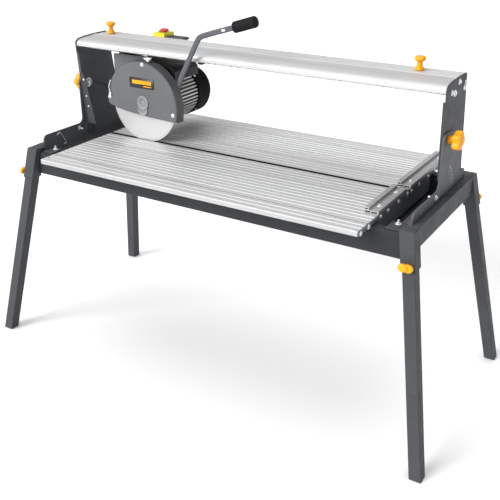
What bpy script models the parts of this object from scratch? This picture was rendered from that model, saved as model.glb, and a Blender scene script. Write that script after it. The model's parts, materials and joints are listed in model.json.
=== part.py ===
"""Bridge tile saw: a saw head that slides along a tilting aluminium beam over a slotted table.

Metres. +X runs along the beam to the right, +Y to the back, +Z up; the origin is on the floor.
"""

import math

import bpy
from mathutils import Matrix, Vector

# Frame
FRAME_X, FRAME_Y, TOP_Z = 0.652, 0.254, 0.650  # outer top corners of the leg sockets
FOOT_X, FOOT_Y = 0.768, 0.357  # outer corners of the feet
SOCKET_SIZE, SOCKET_WALL, SOCKET_BOTTOM = 0.040, 0.0026, 0.552
LEG_INSET, LEG_TOP, LEG_WALL = 0.0030, 0.645, 0.002
SPLAY_X = (FOOT_X + LEG_INSET - FRAME_X) / TOP_Z
SPLAY_Y = (FOOT_Y + LEG_INSET - FRAME_Y) / TOP_Z
SHEET = 0.0025
END_RAIL_BOTTOM, END_RAIL_WIDTH = 0.593, 0.023
SIDE_RAIL_Y, SIDE_RAIL_TOP, SIDE_RAIL_BOTTOM = 0.241, 0.636, 0.566
SIDE_RAIL_FLANGE = 0.030
GAP = 0.0004

# Table
TABLE_X, TABLE_FRONT, TABLE_BACK = 0.530, -0.317, 0.348
SLOT_Y, SLOT_WIDTH = 0.012, 0.010
PANEL_BOTTOM, DECK_BOTTOM = 0.6364, 0.6455
GROOVE_PITCH, GROOVE_WIDTH, GROOVE_DEPTH = 0.020, 0.0056, 0.0012
RIB_PITCH, RIB_WIDTH = 0.036, 0.0025
END_PLATE_THICK, END_PLATE_Y, END_PLATE_Z = 0.003, 0.196, 0.590

# Tray
TRAY_X, TRAY_Y, TRAY_BOTTOM, TRAY_TOP, TRAY_WALL = 0.588, 0.236, 0.569, 0.630, 0.002

# Bridge
PIVOT_Y, PIVOT_Z = 0.012, 0.650
WEB_IN, WEB_OUT = 0.621, 0.624
BRACKET_IN, BRACKET_OUT = 0.6244, 0.6284
KNOB_RADIUS, KNOB_ANGLE, TILT_RANGE = 0.160, math.radians(2.8), math.radians(45)
STUD_R = 0.004
BEAM_X, BEAM_FRONT, BEAM_BACK, BEAM_LIP, BEAM_TOP = 0.6206, -0.019, 0.142, 0.937, 0.961
KNOB_XS = {"left": -0.577, "right": 0.502}
ROD_R, ROD_Z, ROD_YS = 0.008, 0.926, (0.045, 0.125)
ROLLER_R, ROLLER_XS, AXLE_R = 0.0097, (-0.470, -0.215), 0.003
ROLLER_Z = ROD_Z + ROD_R + 0.0003 + ROLLER_R

# Saw head
BLADE = Vector((-0.378, 0.012, 0.7705))
BLADE_R, BLADE_THICK = 0.125, 0.0022
GUARD_CENTRE_X, GUARD_CENTRE_Z, GUARD_R = -0.375, 0.768, 0.141
GUARD_FRONT, GUARD_BACK, GUARD_WALL = -0.007, 0.031, 0.003
MOTOR_R, MOTOR_END, FIN_DEPTH, FINS = 0.078, 0.205, 0.007, 42
FAN_R, FAN_END = 0.081, 0.294
PLUNGE = Vector((-0.498, 0.085, 0.895))
HANDLE = (
    Vector((-0.240, 0.022, 0.842)),
    Vector((-0.196, -0.036, 0.876)),
    Vector((-0.114, -0.045, 1.015)),
    Vector((0.008, -0.045, 1.0525)),
    Vector((0.070, -0.045, 1.0718)),
)


for old in list(bpy.data.objects):
    bpy.data.objects.remove(old, do_unlink=True)


def material(name, colour, roughness, metallic=0.0):
    """A plain Principled BSDF material."""
    made = bpy.data.materials.new(name)
    made.use_nodes = True
    shader = made.node_tree.nodes["Principled BSDF"]
    shader.inputs["Base Color"].default_value = (*colour, 1)
    shader.inputs["Roughness"].default_value = roughness
    shader.inputs["Metallic"].default_value = metallic
    made.diffuse_color = (*colour, 1)
    return made


GREY_PAINT = material("grey_paint", (0.105, 0.108, 0.118), 0.45)
GUARD_PAINT = material("guard_paint", (0.17, 0.172, 0.18), 0.45)
ALUMINIUM = material("aluminium", (0.72, 0.72, 0.71), 0.35, 0.9)
CAST_ALUMINIUM = material("cast_aluminium", (0.45, 0.45, 0.43), 0.5, 0.8)
STEEL = material("blade_steel", (0.7, 0.7, 0.7), 0.4, 0.6)
ZINC = material("zinc_steel", (0.65, 0.65, 0.66), 0.35, 0.9)
ORANGE = material("orange_plastic", (0.93, 0.38, 0.02), 0.4)
BLACK = material("black_plastic", (0.015, 0.015, 0.016), 0.5)
BLACK_PAINT = material("black_paint", (0.02, 0.02, 0.022), 0.45)
RUBBER = material("black_rubber", (0.012, 0.012, 0.012), 0.7)
YELLOW = material("yellow_plastic", (0.8, 0.72, 0.03), 0.4)
RED = material("red_plastic", (0.6, 0.03, 0.03), 0.35)
GREEN = material("green_plastic", (0.05, 0.45, 0.06), 0.35)


def empty(name, location):
    made = bpy.data.objects.new(name, None)
    made.location = location
    bpy.context.scene.collection.objects.link(made)
    return made


def add(name, points, faces, mat, place=Matrix(), parent=None):
    """A mesh object from points in its own frame; its faces are turned to point out."""
    mesh = bpy.data.meshes.new(name)
    mesh.from_pydata([tuple(p) for p in points], [], faces)
    mesh.materials.append(mat)
    made = bpy.data.objects.new(name, mesh)
    bpy.context.scene.collection.objects.link(made)
    volume = sum(
        mesh.vertices[f.vertices[0]].co.dot(
            mesh.vertices[f.vertices[i]].co.cross(mesh.vertices[f.vertices[i + 1]].co)
        )
        for f in mesh.polygons
        for i in range(1, len(f.vertices) - 1)
    )
    if volume < 0:
        mesh.flip_normals()
    made.matrix_world = place
    if parent:
        made.parent = parent
        made.matrix_parent_inverse = Matrix.Translation(parent.location).inverted()
    return made


def loft(name, loops, mat, place=Matrix(), parent=None):
    """A closed solid through loops that hold the same number of points."""
    n = len(loops[0])
    faces = [list(range(n))[::-1], [len(loops) * n - n + i for i in range(n)]]
    for k in range(len(loops) - 1):
        for i in range(n):
            j = (i + 1) % n
            faces.append([k * n + i, k * n + j, k * n + n + j, k * n + n + i])
    return add(name, [p for loop in loops for p in loop], faces, mat, place, parent)


def prism(name, outline, axis, low, high, mat, parent=None):
    """An outline swept along a world axis; its two numbers are the other two axes in order."""
    loops = []
    for at in (low, high):
        loops.append([p[:axis] + (at,) + p[axis:] for p in map(tuple, outline)])
    return loft(name, loops, mat, parent=parent)


def box(name, x, y, z, mat, parent=None):
    return prism(name, [(x[0], y[0]), (x[1], y[0]), (x[1], y[1]), (x[0], y[1])], 2, *z, mat, parent)


def turned(name, profile, mat, at, axis, parent=None, segments=32):
    """A closed (radius, height) profile turned about its own Z, which then lies along axis."""
    points, rings = [], []
    for radius, height in profile:
        count = 1 if radius < 1e-7 else segments
        rings.append([len(points) + i for i in range(count)])
        for i in range(count):
            turn = math.tau * i / segments
            points.append((radius * math.cos(turn), radius * math.sin(turn), height))
    faces = []
    for one, two in zip(rings, rings[1:] + rings[:1]):
        for i in range(segments):
            j = (i + 1) % segments
            corners = [one[i % len(one)], one[j % len(one)], two[j % len(two)], two[i % len(two)]]
            corners = list(dict.fromkeys(corners))
            if len(corners) > 2:
                faces.append(corners)
    place = Matrix.Translation(at) @ Vector(axis).to_track_quat("Z", "Y").to_matrix().to_4x4()
    return add(name, points, faces, mat, place, parent)


def rod(name, start, end, radius, mat, parent=None, segments=24):
    start, end = Vector(start), Vector(end)
    length = (end - start).length
    profile = [(0, 0), (radius, 0), (radius, length), (0, length)]
    return turned(name, profile, mat, start, end - start, parent, segments)


def combine(body, tool, operation):
    """Applies an exact Boolean and removes the tool."""
    step = body.modifiers.new(operation, "BOOLEAN")
    step.operation, step.solver, step.object = operation, "EXACT", tool
    bpy.context.view_layer.update()
    graph = bpy.context.evaluated_depsgraph_get()
    mesh = bpy.data.meshes.new_from_object(body.evaluated_get(graph))
    body.modifiers.clear()
    body.data = mesh
    bpy.data.objects.remove(tool, do_unlink=True)
    return body


def cut(body, tool):
    return combine(body, tool, "DIFFERENCE")


def join(body, tool):
    return combine(body, tool, "UNION")


def arc(centre, radius, start, end, steps):
    """Points on a circle, angles in degrees."""
    turns = [math.radians(start + (end - start) * i / steps) for i in range(steps + 1)]
    return [(centre[0] + radius * math.cos(t), centre[1] + radius * math.sin(t)) for t in turns]


def lobed(radius, depth, lobes, height, points=40):
    """A round loop whose radius dips by depth between its lobes."""
    loop = []
    for i in range(points):
        turn = math.tau * i / points
        r = radius - depth * (0.5 - 0.5 * math.cos(lobes * turn))
        loop.append((r * math.cos(turn), r * math.sin(turn), height))
    return loop


def knob(name, loops, at, axis, mat, parent=None, spin=0.0, points=40):
    """A knob from (radius, dip, height) loops, with its hub on its own Z."""
    rings = [lobed(r, dip, lobes, h, points) for r, dip, lobes, h in loops]
    turn = Vector(axis).to_track_quat("Z", "Y").to_matrix().to_4x4()
    place = Matrix.Translation(at) @ turn @ Matrix.Rotation(spin, 4, "Z")
    return loft(name, rings, mat, place, parent)


# Frame ------------------------------------------------------------------------------------

def leg_section(side_x, side_y, z, inset):
    """The square that the leg line cuts at height z, drawn in from the socket's outside."""
    far_x = FRAME_X + SPLAY_X * (TOP_Z - z) - inset
    far_y = FRAME_Y + SPLAY_Y * (TOP_Z - z) - inset
    side = SOCKET_SIZE - 2 * inset
    corners = ((far_x - side, far_y - side), (far_x, far_y - side), (far_x, far_y), (far_x - side, far_y))
    return [(side_x * x, side_y * y, z) for x, y in corners]


def leg_set(name, side_x, side_y, knob_on_x):
    """One socket, its leg and its clamping knob."""
    def column(label, bottom, top, inset):
        loops = [leg_section(side_x, side_y, z, inset) for z in (bottom, top)]
        return loft(label, loops, GREY_PAINT)

    socket = column(f"leg_socket_{name}", SOCKET_BOTTOM, TOP_Z, 0)
    cut(socket, column("bore", SOCKET_BOTTOM - 0.01, TOP_Z - 0.003, SOCKET_WALL))
    leg = column(f"leg_{name}", 0, LEG_TOP, LEG_INSET)
    cut(leg, column("bore", 0.004, LEG_TOP + 0.01, LEG_INSET + LEG_WALL))

    z = SOCKET_BOTTOM + 0.012
    section = [Vector(p) for p in leg_section(side_x, side_y, z, 0)]
    if knob_on_x:
        at = (section[1] + section[2]) / 2
        out = Vector((side_x, 0, SPLAY_X)).normalized()
    else:
        at = (section[2] + section[3]) / 2
        out = Vector((0, side_y, SPLAY_Y)).normalized()
    cut(socket, rod("hole", at - out * 0.008, at + out * 0.01, STUD_R + 0.0005, GREY_PAINT))
    loops = (
        (STUD_R, 0, 2, -0.0024), (STUD_R, 0, 2, 0.003), (0.0085, 0, 2, 0.003),
        (0.0095, 0.0, 2, 0.009), (0.019, 0.0100, 2, 0.011), (0.020, 0.011, 2, 0.017),
        (0.018, 0.0085, 2, 0.020), (0.009, 0.0, 2, 0.022), (0.007, 0, 2, 0.026),
    )
    knob(f"leg_knob_{name}", loops, at, out, ORANGE)


def end_rail(name, side):
    """A channel across one end, with its open side inwards and its ends cut to the sockets."""
    outer, inner = FRAME_X, FRAME_X - END_RAIL_WIDTH
    outline = [
        (outer, TOP_Z), (outer, END_RAIL_BOTTOM), (inner, END_RAIL_BOTTOM),
        (inner, END_RAIL_BOTTOM + SHEET), (outer - SHEET, END_RAIL_BOTTOM + SHEET),
        (outer - SHEET, TOP_Z - SHEET), (inner, TOP_Z - SHEET), (inner, TOP_Z),
    ]
    loops = []
    for end in (-1, 1):
        loop = []
        for x, z in outline:
            reach = FRAME_Y - SOCKET_SIZE + SPLAY_Y * (TOP_Z - z) - GAP
            loop.append((side * x, end * reach, z))
        loops.append(loop)
    loft(name, loops, GREY_PAINT)


def side_rail(name, side):
    """A channel along the front or back, below the table."""
    outer, inner = SIDE_RAIL_Y, SIDE_RAIL_Y - SIDE_RAIL_FLANGE
    top, bottom = SIDE_RAIL_TOP, SIDE_RAIL_BOTTOM
    outline = [
        (outer, top), (outer, bottom), (inner, bottom), (inner, bottom + SHEET),
        (outer - SHEET, bottom + SHEET), (outer - SHEET, top - SHEET),
        (inner, top - SHEET), (inner, top),
    ]
    loops = []
    for end in (-1, 1):
        loop = []
        for y, z in outline:
            reach = FRAME_X - SOCKET_SIZE + SPLAY_X * (TOP_Z - z) - GAP
            loop.append((end * reach, side * y, z))
        loops.append(loop)
    loft(name, loops, GREY_PAINT)


# Table ------------------------------------------------------------------------------------

def panel(name, y0, y1):
    """A ribbed deck: grooves along its top, stiffening ribs below."""
    edge = 0.0015
    top = [(y0, TOP_Z - edge), (y0 + edge, TOP_Z)]
    count = int((y1 - y0 - 0.012) / GROOVE_PITCH)
    first = (y0 + y1) / 2 - (count - 1) * GROOVE_PITCH / 2
    for i in range(count):
        y = first + i * GROOVE_PITCH
        half, depth = GROOVE_WIDTH / 2, GROOVE_DEPTH
        top += [(y - half, TOP_Z), (y - half / 2, TOP_Z - depth)]
        top += [(y + half / 2, TOP_Z - depth), (y + half, TOP_Z)]
    top += [(y1 - edge, TOP_Z), (y1, TOP_Z - edge)]
    under = []
    count = round((y1 - y0 - RIB_WIDTH) / RIB_PITCH)
    for i in range(count + 1):
        y = y1 - (y1 - y0 - RIB_WIDTH) * i / count
        if i > 0:
            under.append((y, DECK_BOTTOM))
        under += [(y, PANEL_BOTTOM), (y - RIB_WIDTH, PANEL_BOTTOM)]
        if i < count:
            under.append((y - RIB_WIDTH, DECK_BOTTOM))
    prism(name, top + under, 0, -TABLE_X, TABLE_X, ALUMINIUM)


def table_end_plate(name, side):
    """Closes the panels' ends; between the rails it reaches down into the tray as a splash plate."""
    low, high = 0.6368, TOP_Z - 0.0012
    front, back = TABLE_FRONT + 0.003, TABLE_BACK - 0.003
    outline = [
        (front, low), (front, high), (back, high), (back, low), (END_PLATE_Y, low),
        (END_PLATE_Y, END_PLATE_Z + 0.01), (END_PLATE_Y - 0.01, END_PLATE_Z),
        (0.01 - END_PLATE_Y, END_PLATE_Z), (-END_PLATE_Y, END_PLATE_Z + 0.01), (-END_PLATE_Y, low),
    ]
    near, far = sorted((side * (TABLE_X + GAP), side * (TABLE_X + GAP + END_PLATE_THICK)))
    prism(name, outline, 0, near, far, GREY_PAINT)


def fence_rail(name, x0, y0, y1):
    """A tubular extrusion with a stop lip on its left side."""
    base = TOP_Z + GAP
    def at(points):
        return [(x0 + x, base + z) for x, z in points]

    rail = prism(
        name, at([(0, 0), (0.040, 0), (0.040, 0.0085), (0.013, 0.0085), (0.013, 0.016), (0, 0.016)]),
        1, y0, y1, ALUMINIUM,
    )
    for x, z in (((0.0025, 0.018), (0.002, 0.0065)), ((0.021, 0.037), (0.002, 0.0065)),
                 ((0.003, 0.010), (0.0095, 0.0135))):
        hole = at([(x[0], z[0]), (x[1], z[0]), (x[1], z[1]), (x[0], z[1])])
        cut(rail, prism("hole", hole, 1, y0 - 0.01, y1 + 0.01, ALUMINIUM))


def tray():
    body = box("water_tray", (-TRAY_X, TRAY_X), (-TRAY_Y, TRAY_Y), (TRAY_BOTTOM, TRAY_TOP), BLACK)
    inside_x, inside_y = TRAY_X - TRAY_WALL, TRAY_Y - TRAY_WALL
    floor = TRAY_BOTTOM + TRAY_WALL
    cut(body, box("inside", (-inside_x, inside_x), (-inside_y, inside_y), (floor, TRAY_TOP + 0.01), BLACK))
    drain = Vector((0.40, 0.0, TRAY_BOTTOM - 0.009))
    cut(body, rod("hole", drain, drain + Vector((0, 0, 0.03)), 0.0104, BLACK))
    profile = [(0, 0), (0.014, 0), (0.014, 0.0085), (0.010, 0.0085), (0.010, 0.0105), (0, 0.0105)]
    turned("drain_plug", profile, BLACK, drain, (0, 0, 1))
    pump = box("water_pump", (-0.510, -0.440), (0.140, 0.200), (floor + GAP, floor + 0.034), BLACK)
    join(pump, rod("body", (-0.475, 0.170, floor + 0.02), (-0.475, 0.170, floor + 0.044), 0.024, BLACK))
    join(pump, rod("outlet", (-0.475, 0.170, floor + 0.04), (-0.475, 0.170, floor + 0.054), 0.007, BLACK))


# Bridge -----------------------------------------------------------------------------------

def tilt_bracket(name, side, knob_at):
    """The fixed plate that carries the pivot and the clamping knob; its sector backs the arc slot."""
    foot, foot_top, foot_bottom, corner = 0.205, 0.680, 0.598, 0.018
    low, high, fillet, sector = -0.018, 0.150, 0.020, 0.180
    start, end = math.degrees(math.acos((low + 0.010 - PIVOT_Y) / sector)), 90 - 53
    outline = [(-foot, foot_bottom)]
    outline += arc((corner - foot, foot_top - corner), corner, 180, 90, 5)
    outline += arc((low - fillet, foot_top + fillet), fillet, -90, 0, 5)
    outline.append((low, PIVOT_Z + sector * math.sin(math.radians(start)) - 0.010))
    outline += arc((PIVOT_Y, PIVOT_Z), sector, start, end, 16)
    outline += arc((high + fillet, foot_top + fillet), fillet, 180, 270, 5)
    outline += arc((foot - corner, foot_top - corner), corner, 90, 0, 5)
    outline.append((foot, foot_bottom))
    near, far = sorted((side * BRACKET_IN, side * BRACKET_OUT))
    plate = prism(name, outline, 0, near, far, GREY_PAINT)
    for y, z, r in ((PIVOT_Y, PIVOT_Z, 0.0073), (*knob_at, STUD_R + 0.0005)):
        cut(plate, rod("hole", (side * 0.6, y, z), (side * 0.65, y, z), r, GREY_PAINT))
    profile = [(0, 0), (0.015, 0), (0.015, 0.0086), (0.007, 0.0086), (0.007, 0.016), (0, 0.016)]
    turned(f"pivot_stud_{name[13:]}", profile, ZINC, (side * 0.6120, PIVOT_Y, PIVOT_Z), (side, 0, 0))


def upright(name, side, tilt):
    """The moving end plate: a web with an inward front flange, a pivot hole and an arc slot."""
    front, back, lip = BEAM_FRONT - 0.003, 0.137, BEAM_LIP
    outline = [
        (-0.004, 0.690), (front + 0.002, 0.915), (front, lip), (front, lip + 0.012), (-0.0155, 0.9555),
        (-0.006, 0.9595), (0.018, 0.9625), (0.070, 0.9645), (0.128, 0.964), (back, 0.959), (0.182, 0.680),
        (0.176, 0.664), (0.160, 0.655), (0.080, 0.627),
    ]
    outline += arc((PIVOT_Y, PIVOT_Z), 0.038, -62, -185, 9)
    near, far = sorted((side * WEB_IN, side * WEB_OUT))
    web = prism(name, outline, 0, near, far, GREY_PAINT)
    width, thick = 0.0056, 0.0028
    loops = []
    for x in (WEB_IN - width, WEB_IN + 0.0005):
        edge = ((-0.0033, 0.700), (-0.0195, 0.915), (thick - 0.0195, 0.915), (thick - 0.0033, 0.700))
        loops.append([(side * x, y, z) for y, z in edge])
    join(web, loft("flange", loops, GREY_PAINT))
    hole = rod("hole", (side * 0.6, PIVOT_Y, PIVOT_Z), (side * 0.65, PIVOT_Y, PIVOT_Z), 0.0073, GREY_PAINT)
    cut(web, hole)
    half, spare = STUD_R + 0.0005, math.radians(0.6)
    start, end = KNOB_ANGLE - spare, KNOB_ANGLE + TILT_RANGE + spare
    outline, steps = [], 14
    for radius, first, last in ((KNOB_RADIUS + half, start, end), (KNOB_RADIUS - half, end, start)):
        for i in range(steps + 1):
            turn = first + (last - first) * i / steps
            outline.append((PIVOT_Y + radius * math.sin(turn), PIVOT_Z + radius * math.cos(turn)))
    cut(web, prism("slot", outline, 0, side * 0.6, side * 0.65, GREY_PAINT))
    for turn in (start, end):
        y, z = PIVOT_Y + KNOB_RADIUS * math.sin(turn), PIVOT_Z + KNOB_RADIUS * math.cos(turn)
        cut(web, rod("slot_end", (side * 0.6, y, z), (side * 0.65, y, z), half, GREY_PAINT))
    web.parent = tilt
    web.matrix_parent_inverse = Matrix.Translation(tilt.location).inverted()


def tilt_knob(name, side, at):
    """The star knob with its clamping bolt, whose head is on the inner side of the upright."""
    base = BRACKET_OUT + GAP
    head, shank = 0.6120 - base, WEB_IN - GAP - base
    loops = (
        (0.009, 0, 5, head), (0.009, 0, 5, shank), (STUD_R, 0, 5, shank), (STUD_R, 0, 5, 0),
        (0.0105, 0, 5, 0), (0.0105, 0, 5, 0.012), (0.024, 0.007, 5, 0.014), (0.0275, 0.0068, 5, 0.018),
        (0.0280, 0.0065, 5, 0.029), (0.026, 0.005, 5, 0.034), (0.018, 0.001, 5, 0.037),
    )
    knob(name, loops, (side * base, *at), (side, 0, 0), ORANGE)


def beam(tilt):
    """An inverted channel with a rounded front top edge and ribs along its back half."""
    front, back, lip, wall = BEAM_FRONT, BEAM_BACK, BEAM_LIP, 0.003
    top = BEAM_TOP
    outline = [(front, lip), (front, top - 0.016), (front + 0.003, top - 0.0105), (front + 0.009, top - 0.0065),
               (front + 0.018, top - 0.004), (0.019, top - 0.0018), (0.066, top), (0.068, top + 0.0015),
               (0.072, top + 0.0015)]
    for i in range(6):
        y = 0.074 + 0.011 * i
        outline += [(y, top), (y + 0.007, top), (y + 0.008, top - 0.001), (y + 0.010, top - 0.001)]
    outline += [(back, top - 0.0005), (back, top - 0.044), (back - wall, top - 0.044), (back - wall, top - 0.0042),
                (0.066, top - 0.0036), (0.019, top - 0.005), (front + 0.019, top - 0.007),
                (front + 0.0105, top - 0.0095), (front + 0.006, top - 0.0122),
                (front + wall, top - 0.0165), (front + wall, lip)]
    made = prism("bridge_beam", outline, 0, -BEAM_X, BEAM_X, ALUMINIUM, tilt)
    for name, x in KNOB_XS.items():
        at = Vector((x, 0.105, BEAM_TOP - 0.0025))
        cut(made, rod("hole", at - Vector((0, 0, 0.01)), at + Vector((0, 0, 0.01)), 0.0035, ALUMINIUM))
        profile = [(0, 0), (0.003, 0), (0.003, 0.0032), (0.0125, 0.0032), (0.0130, 0.006),
                   (0.0115, 0.010), (0.0075, 0.015), (0.0075, 0.025), (0.014, 0.029), (0.016, 0.033),
                   (0.015, 0.038), (0.011, 0.0405), (0, 0.041)]
        turned(f"transport_knob_{name}", profile, ORANGE, at, (0, 0, 1), tilt, 24)
    for name, y in zip(("front", "rear"), ROD_YS):
        rod(f"guide_rod_{name}", (-BEAM_X, y, ROD_Z), (BEAM_X, y, ROD_Z), ROD_R, ZINC, tilt, 20)


def switch_gear(tilt):
    back = BEAM_BACK + GAP
    top = BEAM_TOP + 0.010
    body = box("switch_box", (-0.431, -0.385), (back, back + 0.055), (top - 0.042, top), YELLOW, tilt)
    plate = box("switch_bracket", (-0.3845, -0.318), (back, back + 0.045), (top - 0.018, top - 0.010), GREY_PAINT, tilt)
    join(plate, box("foot", (-0.3845, -0.318), (back, back + 0.004), (top - 0.045, top - 0.012), GREY_PAINT))
    for name, x, radius, mat, cap in (("stop", -0.404, 0.0070, RED, 0.0150), ("start", -0.4235, 0.0040, GREEN, 0)):
        at = Vector((x, back + 0.028, top - 0.0075))
        cut(body, rod("bore", at - Vector((0, 0, 0.004)), at + Vector((0, 0, 0.02)), radius + 0.0005, YELLOW))
        if cap:
            profile = [(0, 0), (radius, 0), (radius, 0.0112), (cap - 0.002, 0.0112), (cap, 0.0128),
                       (cap, 0.0150), (cap - 0.003, 0.0178), (cap - 0.008, 0.0194), (0, 0.0200)]
        else:
            profile = [(0, 0), (radius, 0), (radius, 0.0115), (radius - 0.001, 0.0125), (0, 0.0125)]
        turned(f"{name}_button", profile, mat, at, (0, 0, 1), tilt, 24)


# Saw head ---------------------------------------------------------------------------------

def carriage(slide):
    """Runs on the two guide rods and carries the hinge of the saw head."""
    low, high, left, right = BEAM_LIP - 0.005, BEAM_LIP + 0.014, -0.515, -0.165
    front, back = 0.060, 0.110
    body = box("carriage", (left, right), (front, back), (low, high), BLACK_PAINT, slide)
    for x in ROLLER_XS:
        join(body, rod("axle", (x, 0.0335, ROLLER_Z), (x, 0.1365, ROLLER_Z), AXLE_R, ZINC, segments=16))
    for y in (front, back - 0.008):
        lug = [(PLUNGE.x - 0.013, low + 0.002), (PLUNGE.x + 0.030, low + 0.002)]
        lug += arc((PLUNGE.x, PLUNGE.z), 0.013, 10, -180, 8)
        join(body, prism("lug", lug, 1, y, y + 0.008, BLACK))
    join(body, rod("pin", (PLUNGE.x, front - 0.003, PLUNGE.z), (PLUNGE.x, back + 0.003, PLUNGE.z), 0.005, ZINC))
    join(body, box("bumper", (-0.196, -0.180), (front, 0.076), (0.908, low + 0.002), BLACK))
    for place, y in zip(("front", "rear"), ROD_YS):
        for end, x in zip(("left", "right"), ROLLER_XS):
            bore, flange, side, half = AXLE_R + 0.0004, 0.0110, 0.0084, 0.0104
            profile = [(bore, -half), (flange, -half), (flange, -side), (ROLLER_R, -side),
                       (ROLLER_R, side), (flange, side), (flange, half), (bore, half)]
            turned(f"roller_{place}_{end}", profile, ZINC, (x, y, ROLLER_Z), (0, 1, 0), slide, 24)


def head_arm(head):
    """The casting from the hinge to the top of the motor."""
    low, high = 0.0684, 0.1016
    outline = arc((PLUNGE.x, PLUNGE.z), 0.012, 235, 75, 8)
    outline += [(-0.440, 0.902), (-0.338, 0.892), (-0.335, 0.856), (-0.440, 0.856)]
    arm = prism("head_arm", outline, 1, low, high, BLACK_PAINT, head)
    saddle = BLADE.z + MOTOR_R + GAP
    housing = [(-0.430, saddle), (-0.430, 0.898), (-0.422, 0.904), (-0.287, 0.889), (-0.275, 0.877), (-0.275, saddle)]
    join(arm, prism("housing", housing, 1, 0.045, 0.172, BLACK))
    cut(arm, rod("bore", (PLUNGE.x, 0.05, PLUNGE.z), (PLUNGE.x, 0.12, PLUNGE.z), 0.0054, BLACK))


def guard_lower_edge():
    return [(-0.236, 0.729), (-0.298, 0.731), (-0.364, 0.734), (-0.425, 0.739), (-0.479, 0.747)]


def guard(head):
    """A cover open at the back and below, its back plate, a wing nut and a latch on its front."""
    centre = (GUARD_CENTRE_X, GUARD_CENTRE_Z)

    def outline(inset):
        points = [(-0.509 + inset, 0.756), (-0.514 + inset, 0.762)]
        points += arc(centre, GUARD_R - inset, 172, -13, 26)
        return points + guard_lower_edge()

    cover = prism("guard_cover", outline(0), 1, GUARD_FRONT, 0.0276, GUARD_PAINT, head)
    hollow = outline(GUARD_WALL)
    for i in range(1, len(guard_lower_edge()) + 1):
        hollow[-i] = (hollow[-i][0], hollow[-i][1] - 0.05)
    hollow[-len(guard_lower_edge())] = (-0.236 - GUARD_WALL, 0.68)
    hollow[0] = (hollow[0][0], 0.69)
    cut(cover, prism("hollow", hollow, 1, GUARD_FRONT + GUARD_WALL, 0.04, GUARD_PAINT))

    plate = prism("guard_back", outline(0), 1, 0.028, GUARD_BACK, GUARD_PAINT, head)
    corner = [(-0.507, 0.780), (-0.507, 0.912), (-0.502, 0.917), (-0.372, 0.917), (-0.350, 0.880), (-0.400, 0.780)]
    join(plate, prism("corner", corner, 1, 0.028, GUARD_BACK, GUARD_PAINT))
    shaft_hole = rod("hole", (BLADE.x, 0.02, BLADE.z), (BLADE.x, 0.04, BLADE.z), 0.014, GUARD_PAINT)
    cut(plate, shaft_hole)

    wing = Vector((-0.352, 0.010, GUARD_CENTRE_Z + GUARD_R + GAP))
    loops = ((0.006, 0, 2, 0), (0.006, 0, 2, 0.004), (0.013, 0.0085, 2, 0.006), (0.015, 0.011, 2, 0.012),
             (0.010, 0.006, 2, 0.013))
    knob("guard_wing_nut", loops, wing, (0, 0, 1), ZINC, head, math.radians(20), 24)

    at = Vector((-0.4985, GUARD_FRONT - 0.0035, 0.794))
    latch = rod("guard_latch", at - Vector((0, 0.003, 0)), at + Vector((0, 0.003, 0)), 0.0035, ZINC, head, 16)
    for low, high in (((0, 0.001), (-0.006, 0.022)), ((-0.006, 0.0215), (0.004, 0.044))):
        ends = [at + Vector((x, 0, z)) for x, z in (low, high)]
        join(latch, rod("wire", *ends, 0.0016, ZINC, segments=12))


def motor(head):
    outline = []
    for i in range(FINS):
        turn = math.tau * i / FINS
        half = math.tau / FINS * 0.19
        for offset, radius in ((-1.5, MOTOR_R - FIN_DEPTH), (-1, MOTOR_R), (1, MOTOR_R), (1.5, MOTOR_R - FIN_DEPTH)):
            angle = turn + offset * half
            outline.append((BLADE.x + radius * math.sin(angle), BLADE.z + radius * math.cos(angle)))
    housing = prism("motor_housing", outline, 1, GUARD_BACK + GAP, MOTOR_END, CAST_ALUMINIUM, head)
    front = Vector((BLADE.x, GUARD_BACK - 0.01, BLADE.z))
    cut(housing, rod("bore", front, front + Vector((0, 0.042, 0)), 0.0106, CAST_ALUMINIUM))

    length = FAN_END - MOTOR_END - GAP
    profile = [(0, length), (0.030, length), (0.062, length - 0.003), (0.074, length - 0.009),
               (FAN_R, length - 0.022), (FAN_R, 0), (FAN_R - 0.003, 0), (FAN_R - 0.003, length - 0.024),
               (0.070, length - 0.012), (0, length - 0.006)]
    at = (BLADE.x, MOTOR_END + GAP, BLADE.z)
    turned("fan_cover", profile, BLACK, at, (0, 1, 0), head, 40)


def blade_set(spin):
    half = BLADE_THICK / 2
    turned("blade", [(0.0127, -half), (BLADE_R, -half), (BLADE_R, half), (0.0127, half)],
           STEEL, BLADE, (0, 1, 0), spin, 96)
    thread, spigot, flange, shaft = 0.008, 0.0124, 0.030, 0.010
    seat = half + GAP
    profile = [(0, -0.0150), (thread, -0.0150), (thread, -seat - GAP), (spigot, -seat - GAP + 0.0001),
               (spigot, seat), (flange, seat), (flange, 0.008), (shaft, 0.008), (shaft, 0.050), (0, 0.050)]
    turned("motor_shaft", profile, ZINC, BLADE, (0, 1, 0), spin, 32)
    outer = [(thread + GAP, -0.0145), (0.013, -0.0145), (0.013, -0.0080), (flange - 0.004, -0.0070),
             (flange, -0.0050), (flange, -seat - GAP - 0.0003), (thread + GAP, -seat - GAP - 0.0003)]
    turned("blade_flange", outer, ZINC, BLADE, (0, 1, 0), spin, 32)


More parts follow.
